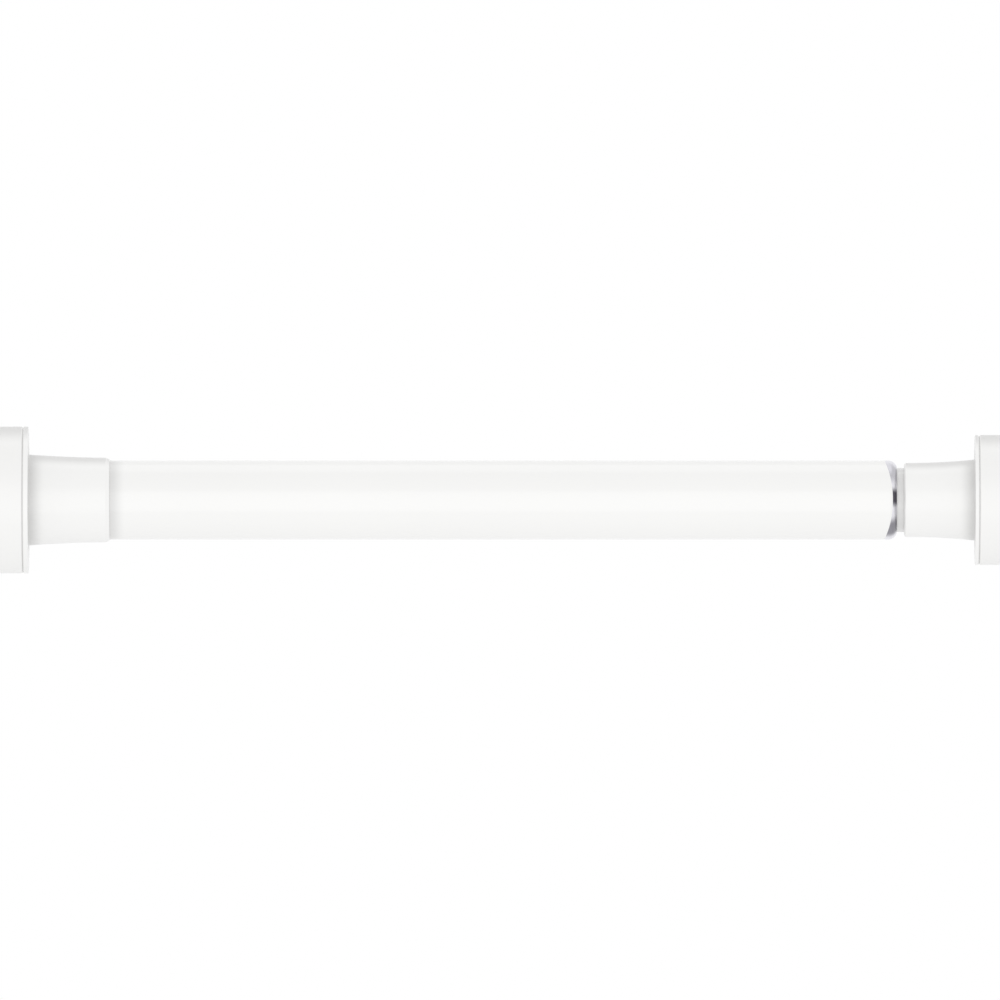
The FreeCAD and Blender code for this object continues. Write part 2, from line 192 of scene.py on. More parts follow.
class RodFinishes(bpy.types.PropertyGroup):
    """Colours and finishes. A roughness has two ends, a grain a size, a depth and a mottle's size."""

    coat: colour("Coat", "White coat of the thick tube", (0.88, 0.878, 0.868))
    coat_shade: colour("Coat shade", "The coat, lying thinner", (0.865, 0.863, 0.853))
    # Painted shade: the thin tube's coat is the thick tube's white made darker, for the shade in the
    # gap at the lip.
    inner_coat: colour("Thin tube's coat", "Coat of the thin tube", (0.84, 0.838, 0.832))
    inner_coat_shade: colour("Thin tube's shade", "That coat, lying thinner", (0.815, 0.813, 0.807))
    coat_roughness: several("Coat roughness", "Both coats below their gloss", (0.268, 0.292))
    coat_grain: lengths("Orange peel", "Fine waves and thinner patches of both coats", (1.4, 0.005, 30))
    gloss: number("Gloss", "Weight of the coat's gloss", 0.7)
    gloss_roughness: number("Gloss roughness", "Roughness of that gloss", 0.18)
    plastic: colour("Plastic", "Moulded sockets", (0.88, 0.878, 0.868))
    plastic_shade: colour("Plastic shade", "Cooler patches of the sockets", (0.865, 0.864, 0.857))
    plastic_roughness: several("Plastic roughness", "Over the plastic's grain", (0.26, 0.34))
    plastic_grain: lengths("Plastic grain", "Grain of the sockets", (0.35, 0.0015, 12))
    rubber: colour("Rubber", "Pads", (0.87, 0.868, 0.858))
    rubber_shade: colour("Rubber shade", "Duller patches of the pads", (0.85, 0.848, 0.838))
    rubber_roughness: several("Rubber roughness", "Over the rubber's grain", (0.3, 0.4))
    rubber_grain: lengths("Rubber grain", "Grain of the pads", (0.25, 0.002, 12))
    nylon: colour("Nylon", "Inner moulded pieces", (0.78, 0.76, 0.69))
    nylon_shade: colour("Nylon shade", "Denser patches of the nylon", (0.72, 0.7, 0.62))
    nylon_roughness: several("Nylon roughness", "Over the nylon's grain", (0.38, 0.5))
    nylon_grain: lengths("Nylon grain", "Grain of the nylon", (0.3, 0.003, 12))
    moulded_gloss: number("Moulded gloss", "Specular level of plastic, rubber and nylon", 0.7)
    steel: colour("Steel", "Bare lip and spring wire", (0.84, 0.835, 0.875))
    steel_shade: colour("Steel shade", "Drawing lines in the steel", (0.68, 0.675, 0.72))
    steel_roughness: several("Steel roughness", "Over the steel's lines", (0.2, 0.36))
    wire_lines: several("Wire lines", "Lines a metre on the wire, along each axis", (3000, 3000, 3000))
    wire_relief: length("Wire relief", "Depth of the wire's lines", 0.0015)
    lip_lines: several("Lip lines", "Lines a metre on the lip, along each axis", (9000, 150, 150))
    bare_edge: length("Bare edge", "Coat's edge behind the lip's tip, at top and bottom", 2.53)
    bare_sway: length("Bare sway", "How much further the coat runs in front and behind", 1.74)
    bare_fade: length("Bare fade", "Width of the coat's edge", 0.05)
    # Painted dark reflections on the bare lip, placed by angle from the front.
    mark: colour("Roll mark", "Dark marks of the rolling tool on the lip", (0.1, 0.095, 0.115))
    reflection_places: angles("Reflection places", "Places of the marks, from the front upwards", (48, 4.4, -48))
    reflection_spreads: angles("Reflection spreads", "Half the width of each mark", (17, 12, 17))
    reflection_strengths: several("Reflection strengths", "Share of each mark's colour", (0.37, 1.0, 0.75))
    # Painted shade: this colour darkens the collar corners and seams of the feet, the tubes beside the
    # collar mouths, and the tops of the feet.
    dust: colour("Dust", "Fine dust in corners and seams and on top of the feet", (0.68, 0.677, 0.67))
    corner_shade_reach: length("Dust reach", "Spread of the dust from a collar's corner", 3.3)
    seam_shade_reach: length("Seam dust", "Spread of the dust from a seam", 0.3)
    # Painted shade: the tops of the feet darker, as less light falls there.
    top_shade_share: number("Top dust", "Share of the dust's colour on top of the feet", 0.95)
    top_shade_from: number("Top dust from", "Upward part of the normal where that dust begins", 0.76)


class RodStage(bpy.types.PropertyGroup):
    """Camera, lamps and floor. A light of one is white, and a span has two elevations."""

    view_width: length("View width", "Width of the picture at the rod", 202.34)
    view_centre: length("View centre", "Place at the picture's middle", 104.385)
    camera_distance: length("Camera distance", "Far enough for a flat view", 6000.0)
    floor_drop: length("Floor drop", "Floor below the rod's axis", 130.0)
    floor_radius: length("Floor radius", "Reach of the round floor", 1500.0)
    floor_tint: colour("Floor", "Colour of the floor", (0.85, 0.85, 0.85))
    floor_roughness: number("Floor roughness", "Roughness of the floor", 0.9)
    floor_glow: number("Floor glow", "Lift of the floor to white", 0.35)
    sky_fill: number("Sky fill", "Soft light from all round", 0.85)
    panel_distance: length("Panel distance", "Lamp panels from the rod's axis", 800.0)
    panel_width: length("Panel width", "Lamp panels along the rod", 1000.0)
    front_light: number("Front light", "Panel round the camera", 0.58)
    front_span: angles("Front span", "Edges of the front panel", (-33, 25))
    top_light: number("Top light", "Panel over the rod", 0.42)
    top_span: angles("Top span", "Front and rear edge of the top panel", (90, 124))
    low_light: number("Low light", "Panel under the rod", 0.11)
    low_span: angles("Low span", "Rear and front edge of the low panel", (-130, -42))
    side_light: number("Side light", "Panels to both sides", 0.1)
    side_span: angles("Side span", "Edges of the side panels", (-28, 28))
    side_turn: degrees("Side turn", "Side panels from the camera's direction", 60)
    side_width: length("Side width", "Side panels across", 700.0)


def node_reach(name):
    """First and last place along the rod, then smallest and largest radius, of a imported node."""
    mesh = frame["nodes"][name].data
    spots = np.empty(len(mesh.vertices) * 3, np.float32)
    mesh.vertices.foreach_get("co", spots)
    along, y, z = spots.reshape(-1, 3).astype(float).T
    radius = np.hypot(y, z)
    return along.min(), along.max(), radius.min(), radius.max()


def unit(vector):
    """The same direction with length one."""
    return vector / np.linalg.norm(vector)


def smooth_step(share):
    """A share between zero and one, eased at both ends."""
    share = np.clip(share, 0, 1)
    return share * share * (3 - 2 * share)


def arc(centre, radius, first, last, steps=ARC_STEPS):
    """Points of a circular arc between two angles."""
    angle = np.linspace(first, last, steps + 1)
    return np.asarray(centre) + radius * np.stack([np.cos(angle), np.sin(angle)], -1)


def rounded(corners):
    """Half section through (along, radius, easing) corners, each eased by an arc tangent to both sides.

    In a corner of half angle h, an arc of radius e starts e / tan(h) before the corner, ends as far
    after it, and has its centre e / sin(h) along the bisector. A flat strip guards each end of it.
    """
    spots = np.array([corner[:2] for corner in corners])
    points = []
    for i, (_, _, ease) in enumerate(corners):
        here = spots[i]
        if not ease:
            points.append(here[None])
            continue
        back = unit(spots[i - 1] - here)
        ahead = unit(spots[(i + 1) % len(spots)] - here)
        half = math.acos(np.clip(back @ ahead, -1, 1)) / 2
        reach = ease / math.tan(half)
        centre = here + unit(back + ahead) * ease / math.sin(half)
        first = math.atan2(*(here + back * reach - centre)[::-1])
        last = math.atan2(*(here + ahead * reach - centre)[::-1])
        sweep = (last - first + math.pi) % TURN - math.pi
        guard = reach + GUARD * ease
        bend = arc(centre, ease, first, first + sweep)
        points += [(here + back * guard)[None], bend, (here + ahead * guard)[None]]
    return np.concatenate(points)


def rounded_run(corners, after, before):
    """The eased corners of an open run that comes from one point and goes on to another."""
    closed = [(*before, 0), *corners, (*after, 0)]
    return rounded(closed)[1:-1]


def hollow_side(start, end, dip):
    """Corners of a side between two (along, radius) ends, dipped by the parabola 4 d t (1 - t)."""
    share = np.linspace(0, 1, SIDE_STEPS + 1)[1:-1]
    along = start[0] + (end[0] - start[0]) * share
    radius = start[1] + (end[1] - start[1]) * share - 4 * dip * share * (1 - share)
    return [(x, r, 0) for x, r in zip(along, radius)]


def ring_faces(rows, closed, columns=SEGMENTS):
    """Corner numbers of a grid's faces. Its columns close on themselves, and its rows too if closed."""
    row = np.arange(rows if closed else rows - 1)[:, None]
    column = np.arange(columns)
    beside = (column + 1) % columns
    below, above = row * columns, (row + 1) % rows * columns
    return np.stack([below + column, below + beside, above + beside, above + column], -1).reshape(-1, 4)


def round_angles():
    """The angles at which a half section is placed round the axis, from +Y towards +Z."""
    return np.linspace(0, TURN, SEGMENTS, endpoint=False)


def carried_round(section, relief):
    """Points (x, r cos a, r sin a) of a half section at each angle, with the relief added to r."""
    angle = round_angles()
    radius = section[:, 1:] + relief * np.ones(SEGMENTS)
    along = np.broadcast_to(section[:, :1], radius.shape)
    return np.stack([along, radius * np.cos(angle), radius * np.sin(angle)], -1).reshape(-1, 3)


def turned_ring(section, relief=0.0):
    """Closed shell of a closed half section that stays off the axis, carried round it."""
    return carried_round(section, relief), [ring_faces(len(section), True)]


def turned_solid(section, relief=0.0):
    """Closed shell of a half section whose two ends lie on the axis, where each becomes one pole."""
    rows = len(section) - 2
    points = carried_round(section[1:-1], relief[1:-1] if np.ndim(relief) else relief)
    poles = np.array([[section[0, 0], 0, 0], [section[-1, 0], 0, 0]])
    column = np.arange(SEGMENTS)
    beside = (column + 1) % SEGMENTS
    top = (rows - 1) * SEGMENTS
    pole = np.full(SEGMENTS, len(points))
    fans = [np.stack([beside, column, pole], -1), np.stack([top + column, top + beside, pole + 1], -1)]
    return np.concatenate([points, poles]), [ring_faces(rows, False), *fans]


def star_prism(start, end, half_width, reach, arms):
    """Closed shell of flat arms that meet on the axis: a star outline carried along X.

    Two corners end each arm, and neighbouring arms meet half_width / sin(pi / arms) from the axis.
    """
    turn = TURN * np.arange(arms) / arms
    spread = math.atan2(half_width, reach)
    tip = math.hypot(half_width, reach)
    angle = np.stack([turn - spread, turn + spread, turn + math.pi / arms], -1).ravel()
    radius = np.tile([tip, tip, half_width / math.sin(math.pi / arms)], arms)
    outline = np.stack([radius * np.sin(angle), radius * np.cos(angle)], -1)
    corners = len(outline)
    points = np.concatenate([np.column_stack([np.full(corners, x), outline]) for x in (start, end)])
    caps = np.stack([np.arange(corners)[::-1], corners + np.arange(corners)])
    return points, [ring_faces(2, False, corners), caps]


def coil(start, end, radius, sizes):
    """Closed shell of the spring's round wire on a right-hand helix whose two end turns lie closed.

    The wire's middle is (x(a), R cos a, R sin a). Its rise per turn goes smoothly from the closed
    pitch to the open one. The wire's circle lies in the radial direction and the one square to it
    and to the wire.
    """
    wire, closed_pitch = sizes.spring_wire, sizes.closed_pitch
    total = sizes.spring_turns + 2
    angle = np.linspace(0, TURN * total, total * COIL_STEPS + 1)
    depth = np.minimum(angle, angle[-1] - angle) / TURN
    opening = smooth_step((depth - sizes.closed_turns) / sizes.opening_turns)
    between = (opening[1:] + opening[:-1]) / 2
    step = angle[1] / TURN
    extra = (end - start - wire - closed_pitch * total) / (between.sum() * step)
    along = start + wire / 2 + np.append(0, np.cumsum(closed_pitch + extra * between)) * step
    slope = (closed_pitch + extra * opening) / TURN
    cos, sin, none = np.cos(angle), np.sin(angle), np.zeros_like(angle)
    middle = np.stack([along, radius * cos, radius * sin], -1)
    outward = np.stack([none, cos, sin], -1)
    tangent = np.stack([slope, -radius * sin, radius * cos], -1)
    tangent /= np.linalg.norm(tangent, axis=1, keepdims=True)
    across = np.cross(tangent, outward)
    around = np.linspace(0, TURN, WIRE_FACES, endpoint=False)[:, None]
    circle = np.cos(around) * outward[:, None] + np.sin(around) * across[:, None]
    points = (middle[:, None] + wire / 2 * circle).reshape(-1, 3)
    first = np.arange(WIRE_FACES)
    caps = np.stack([first[::-1], len(points) - WIRE_FACES + first])
    return points, [ring_faces(len(angle), False, WIRE_FACES), caps]


def screw_relief(along, sizes, start, end):
    """How far a screw lies below its crests, at each place along the rod and each angle.

    The phase s (x / lead - a / 2 pi) winds a right-hand screw of s starts. A steepened cosine gives
    rounded crests and grooves, and the screw fades out at both ends.
    """
    turn = round_angles() / TURN
    phase = TURN * sizes.screw_starts * (along[:, None] / sizes.screw_lead - turn)
    steepness = sizes.screw_steepness
    groove = 0.5 - 0.5 * np.tanh(steepness * np.cos(phase)) / math.tanh(steepness)
    fade = smooth_step(np.minimum(along - start, end - along) / sizes.screw_fade)
    return -sizes.screw_depth * groove * fade[:, None]


def inside_volume(points, blocks):
    """Signed volume of a closed shell: a sixth of the summed box products of its triangles."""
    total = 0.0
    for block in blocks:
        for k in range(1, block.shape[1] - 1):
            a, b, c = (points[block[:, i]] for i in (0, k, k + 1))
            total += np.sum(a * np.cross(b, c)) / 6
    return total


def add_piece(node, shells, material):
    """Make a mesh of closed shells, faces outwards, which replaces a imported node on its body."""
    points, faces, base = [], [], 0
    for spots, blocks in shells:
        step = -1 if inside_volume(spots, blocks) < 0 else 1
        for block in blocks:
            faces += (block[:, ::step] + base).tolist()
        points.append(spots)
        base += len(spots)
    name = f"{node}_finish"
    mesh = bpy.data.meshes.new(name)
    mesh.from_pydata(np.concatenate(points).tolist(), [], faces)
    mesh.polygons.foreach_set("use_smooth", np.ones(len(faces), bool))
    mesh.set_sharp_from_angle(angle=SHARP)
    mesh.materials.append(material)
    piece = bpy.data.objects.new(name, mesh)
    bpy.context.scene.collection.objects.link(piece)
    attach(piece, frame["nodes"][node]["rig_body"])
    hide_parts(node)
    return piece


def mark_upward(piece):
    """Store how far each point of a piece faces upwards, the z of its normal, for the painted shade on
    its top.
    """
    mesh = piece.data
    normals = np.empty(len(mesh.vertices) * 3, np.float32)
    mesh.vertex_normals.foreach_get("vector", normals)
    upward = mesh.attributes.new(UPWARD, "FLOAT", "POINT")
    upward.data.foreach_set("value", normals.reshape(-1, 3)[:, 2].copy())


def fill(tree, node, inputs):
    """Give a shader node its inputs. Each is a socket to link or a plain value."""
    for key, value in inputs.items():
        if isinstance(value, bpy.types.NodeSocket):
            tree.links.new(value, node.inputs[key])
        else:
            node.inputs[key].default_value = value


def add_node(tree, kind, inputs, **settings):
    """Add a shader node with its settings and inputs."""
    node = tree.nodes.new(kind)
    for key, value in settings.items():
        setattr(node, key, value)
    fill(tree, node, inputs)
    return node


def worked(tree, operation, *values):
    """The result of a sum or comparison of sockets and numbers."""
    return add_node(tree, "ShaderNodeMath", dict(enumerate(values)), operation=operation).outputs[0]


def hypot(tree, first, second):
    """The length of a vector with two given parts."""
    vector = add_node(tree, "ShaderNodeCombineXYZ", {"X": first, "Y": second}).outputs[0]
    return add_node(tree, "ShaderNodeVectorMath", {0: vector}, operation="LENGTH").outputs["Value"]


def mapped(tree, value, ends, span=(0.0, 1.0), smooth=False):
    """A result that goes from one end to the other as the value runs through the span."""
    inputs = {"Value": value}
    inputs["From Min"], inputs["From Max"] = span
    inputs["To Min"], inputs["To Max"] = ends
    kind = "SMOOTHSTEP" if smooth else "LINEAR"
    return add_node(tree, "ShaderNodeMapRange", inputs, interpolation_type=kind).outputs[0]


def mixed_colour(tree, share, first, second):
    """A colour that goes from the first to the second with the share."""
    inputs = {MIX_SHARE: share}
    for slot, tint in ((MIX_FIRST, first), (MIX_SECOND, second)):
        inputs[slot] = tint if isinstance(tint, bpy.types.NodeSocket) else (*tint, 1.0)
    return add_node(tree, "ShaderNodeMix", inputs, data_type="RGBA").outputs[MIX_RESULT]


def bumped(tree, height, distance):
    """A normal tilted by a relief of the given height."""
    return add_node(tree, "ShaderNodeBump", {"Height": height, "Distance": distance}).outputs["Normal"]


def new_group(name, inputs, outputs):
    """A shader node group with inputs of given kinds. Returns it, its inner inputs and its outputs."""
    group = bpy.data.node_groups.new(name, "ShaderNodeTree")
    for socket, kind in inputs.items():
        group.interface.new_socket(socket, in_out="INPUT", socket_type=kind)
    for socket in outputs:
        group.interface.new_socket(socket, in_out="OUTPUT", socket_type=FLOAT)
    return group, group.nodes.new("NodeGroupInput").outputs, group.nodes.new("NodeGroupOutput").inputs


def surface_grain(name):
    """Shared effect: a fine random relief and a broad mottle, both between zero and one."""
    inputs = {"Place": VECTOR, "Grain Size": FLOAT, "Mottle Size": FLOAT}
    group, given, result = new_group(name, inputs, ["Relief", "Mottle"])
    for size, detail, output in (("Grain Size", 2.0, "Relief"), ("Mottle Size", 4.0, "Mottle")):
        scale = worked(group, "DIVIDE", 1.0, given[size])
        inputs = {"Vector": given["Place"], "Scale": scale, "Detail": detail}
        noise = add_node(group, "ShaderNodeTexNoise", inputs)
        group.links.new(noise.outputs["Fac"], result[output])
    return group


def drawn_lines(name):
    """Shared effect: the fine lines that drawing and rolling leave on metal, between zero and one."""
    group, given, result = new_group(name, {"Place": VECTOR, "Stretch": VECTOR}, ["Lines"])
    spread = {0: given["Place"], 1: given["Stretch"]}
    place = add_node(group, "ShaderNodeVectorMath", spread, operation="MULTIPLY").outputs[0]
    noise = add_node(group, "ShaderNodeTexNoise", {"Vector": place, "Scale": 1.0, "Detail": 3.0})
    group.links.new(noise.outputs["Fac"], result["Lines"])
    return group


def corner_shade_group(name):
    """Shared effect: painted shade in a corner round the rod, one on the corner's ring and zero beyond
    a reach.

    The distance from a ring at place c and radius R is the length of (x - c, r - R).
    """
    inputs = {"Place": VECTOR, "Corner": FLOAT, "Radius": FLOAT, "Reach": FLOAT}
    group, given, result = new_group(name, inputs, ["Dust"])
    x, y, z = add_node(group, "ShaderNodeSeparateXYZ", {"Vector": given["Place"]}).outputs
    ahead = worked(group, "SUBTRACT", x, given["Corner"])
    out = worked(group, "SUBTRACT", hypot(group, y, z), given["Radius"])
    dust = mapped(group, hypot(group, ahead, out), (1.0, 0.0), (0.0, given["Reach"]), smooth=True)
    group.links.new(dust, result["Dust"])
    return group


def top_shade_group(name):
    """Shared effect: painted shade on what faces upwards, none at a given slope and full where it lies
    level.
    """
    group, given, result = new_group(name, {"Upward": FLOAT, "From": FLOAT, "Full": FLOAT}, ["Dust"])
    dust = mapped(group, given["Upward"], (0.0, given["Full"]), (given["From"], 1.0), smooth=True)
    group.links.new(dust, result["Dust"])
    return group


EFFECTS = {
    "Surface grain": surface_grain,
    "Drawn lines": drawn_lines,
    "Corner dust": corner_shade_group,
    "Settled dust": top_shade_group,
}


def effect(tree, name, inputs):
    """Place a shared effect in a material and return its outputs. Its group is made on first use."""
    group = bpy.data.node_groups.get(name) or EFFECTS[name](name)
    return add_node(tree, "ShaderNodeGroup", inputs, node_tree=group).outputs


def material_parts(material):
    """A material's tree, its shader and the piece's own coordinates."""
    tree = material.node_tree
    return tree, tree.nodes["Principled BSDF"], tree.nodes["Texture Coordinate"].outputs["Object"]


def new_material(name):
    """A new material, followed by its parts. The frame's plain ones are named after the slots."""
    material = bpy.data.materials.new(name)
    material.use_nodes = True
    material.node_tree.nodes.new("ShaderNodeTexCoord")
    return material, *material_parts(material)


def cover(tree, shader, share, tint):
    """Lay another colour over the shader's, by a share."""
    below = shader.inputs["Base Color"].links[0].from_socket
    fill(tree, shader, {"Base Color": mixed_colour(tree, share, below, tint)})


def shade_corners(material, rings, finishes):
    """Lay painted shade on a material in corner rings, each given by its place, radius and reach."""
    tree, shader, place = material_parts(material)
    for corner, radius, reach in rings:
        inputs = {"Place": place, "Corner": corner, "Radius": radius, "Reach": reach}
        cover(tree, shader, effect(tree, "Corner dust", inputs)["Dust"], finishes.dust)


def shade_tops(material, finishes):
    """Lay painted shade on the upward sides of a material whose pieces are marked for it."""
    tree, shader, _ = material_parts(material)
    upward = add_node(tree, "ShaderNodeAttribute", {}, attribute_name=UPWARD).outputs["Fac"]
    inputs = {"Upward": upward, "From": finishes.top_shade_from, "Full": finishes.top_shade_share}
    cover(tree, shader, effect(tree, "Settled dust", inputs)["Dust"], finishes.dust)


def toned(name, tones, kind, driver, more, finishes):
    """A material of two tones in a mottle, with a grain. The driver, one of both, sets its roughness.

    Tones and kind begin the names of its colours and of its other properties.
    """
    tint, shade = getattr(finishes, tones), getattr(finishes, f"{tones}_shade")
    size, depth, mottle = getattr(finishes, f"{kind}_grain")
    material, tree, shader, place = new_material(name)
    inputs = {"Place": place, "Grain Size": size, "Mottle Size": mottle}
    surface = effect(tree, "Surface grain", inputs)
    looks = {
        "Base Color": mixed_colour(tree, surface["Mottle"], tint, shade),
        "Roughness": mapped(tree, surface[driver], getattr(finishes, f"{kind}_roughness")),
        "Normal": bumped(tree, surface["Relief"], depth),
    }
    fill(tree, shader, looks | more)
    return material


def moulded(name, kind, finishes):
    """Moulded plastic, rubber or nylon."""
    return toned(name, kind, kind, "Relief", {"Specular IOR Level": finishes.moulded_gloss}, finishes)


def nylon(finishes):
    """Natural nylon of the inner pieces, made on first use."""
    name = "nylon_finish"
    return bpy.data.materials.get(name) or moulded(name, "nylon", finishes)


def steel_look(tree, place, stretch, finishes):
    """Colour, roughness and relief of bare drawn steel."""
    lines = effect(tree, "Drawn lines", {"Place": place, "Stretch": stretch})["Lines"]
    tint = mixed_colour(tree, lines, finishes.steel, finishes.steel_shade)
    return tint, mapped(tree, lines, finishes.steel_roughness), lines


def spring_steel(finishes):
    """Bright drawn steel wire, made on first use."""
    name = "spring_steel_finish"
    if name in bpy.data.materials:
        return bpy.data.materials[name]
    material, tree, shader, place = new_material(name)
    tint, roughness, lines = steel_look(tree, place, finishes.wire_lines, finishes)
    normal = bumped(tree, lines, finishes.wire_relief)
    looks = {"Base Color": tint, "Roughness": roughness, "Normal": normal, "Metallic": 1.0}
    fill(tree, shader, looks)
    return material


def white_coat(name, tones, rings, finishes):
    """Glossy white coat of a tube, with a faint orange peel and painted shade at its collar."""
    gloss = {"Coat Weight": finishes.gloss, "Coat Roughness": finishes.gloss_roughness}
    material = toned(name, tones, "coat", "Mottle", gloss, finishes)
    shade_corners(material, rings, finishes)
    return material


def dark_reflections(tree, axes, finishes):
    """Painted dark reflections on the bare lip, where it mirrors dark surroundings.

    With a the angle from the front upwards, the mark at m with half width w has its full strength
    where |a - m| is under w / 2 and none where it is over 3 w / 2.
    """
    angle = worked(tree, "ARCTAN2", axes["Z"], worked(tree, "MULTIPLY", axes["Y"], -1.0))
    darkest = 0.0
    reflections = zip(finishes.reflection_places, finishes.reflection_spreads, finishes.reflection_strengths)
    for place, spread, strength in reflections:
        away = worked(tree, "ABSOLUTE", worked(tree, "SUBTRACT", angle, place))
        mark = mapped(tree, away, (strength, 0.0), (spread / 2, 3 * spread / 2), smooth=True)
        darkest = worked(tree, "MAXIMUM", darkest, mark)
    return darkest


def bare_lip(coat, start, sway, finishes):
    """Bare the steel of a coated tube past the coat's edge, which lies at x - sway y y = start."""
    tree, shader, place = material_parts(coat)
    axes = add_node(tree, "ShaderNodeSeparateXYZ", {"Vector": place}).outputs
    square = worked(tree, "MULTIPLY", axes["Y"], axes["Y"])
    reach = worked(tree, "MULTIPLY_ADD", square, -sway, axes["X"])
    bare = mapped(tree, reach, (0.0, 1.0), (start, start + finishes.bare_fade))
    tint, roughness, _ = steel_look(tree, place, finishes.lip_lines, finishes)
    # Painted dark reflections laid over the bare steel.
    reflections = dark_reflections(tree, axes, finishes)
    cover(tree, shader, bare, mixed_colour(tree, reflections, tint, finishes.mark))
    below = shader.inputs["Roughness"].links[0].from_socket
    looks = {
        "Roughness": mapped(tree, bare, (below, roughness)),
        "Metallic": bare,
        "Coat Weight": mapped(tree, bare, (finishes.gloss, 0.0)),
    }
    fill(tree, shader, looks)


class RodOperator:
    """What the rod's operators share: the properties they read."""

    bl_options = {"REGISTER", "UNDO"}

    @property
    def sizes(self):
        return bpy.context.scene.rod_sizes

    @property
    def finishes(self):
        return bpy.context.scene.rod_finishes


class ROD_OT_tubes(RodOperator, bpy.types.Operator):
    """Build the thick tube with its rolled lip and the thin tube"""

    bl_idname = "tension_rod.tubes"
    bl_label = "Tubes"

    def execute(self, context):
        self.outer_tube()
        self.inner_tube()
        return {"FINISHED"}

    def outer_tube(self):
        """Straight wall, then an arc that rolls the mouth inwards, and the same way back inside."""
        sizes, finishes = self.sizes, self.finishes
        start, end, lip_bore, radius = node_reach("outer_tube")
        roll, wall, edge = sizes.lip_roll, sizes.tube_wall, sizes.tube_edge
        bend = (radius - lip_bore - wall * math.cos(roll)) / (1 - math.cos(roll))
        centre = np.array((end - bend * math.sin(roll), radius - bend))
        upright = math.pi / 2
        tip = upright - roll
        along_edge = np.array((math.cos(tip), math.sin(tip)))
        eased = tip + edge / bend
        outside = arc(centre, bend, upright, eased, LIP_STEPS)
        inside = arc(centre, bend - wall, eased, upright, LIP_STEPS)
        cut = [centre + along_edge * (bend - edge), centre + along_edge * (bend - wall + edge)]
        corners = [(start, radius - wall, edge), (start, radius, edge)]
        section = np.concatenate([rounded_run(corners, outside[0], inside[-1]), outside, cut, inside])
        # Painted shade on the thick tube beside the left collar's mouth.
        rings = [(node_reach("left_socket")[1], radius, finishes.corner_shade_reach)]
        coat = white_coat("white_coat_bare_lip", "coat", rings, finishes)
        bare_lip(coat, end - finishes.bare_edge, finishes.bare_sway / radius**2, finishes)
        add_piece("outer_tube", [turned_ring(section)], coat)

    def inner_tube(self):
        """A plain sleeve with eased ends."""
        finishes = self.finishes
        start, end, bore, radius = node_reach("inner_tube")
        outline = ((start, bore), (start, radius), (end, radius), (end, bore))
        section = rounded([(*corner, self.sizes.tube_edge) for corner in outline])
        # Painted shade on the thin tube beside the right collar's mouth.
        rings = [(node_reach("right_socket")[0], radius, finishes.corner_shade_reach)]
        # The thin tube's darker coat is painted shade.
        coat = white_coat("white_coat", "inner_coat", rings, finishes)
        add_piece("inner_tube", [turned_ring(section)], coat)


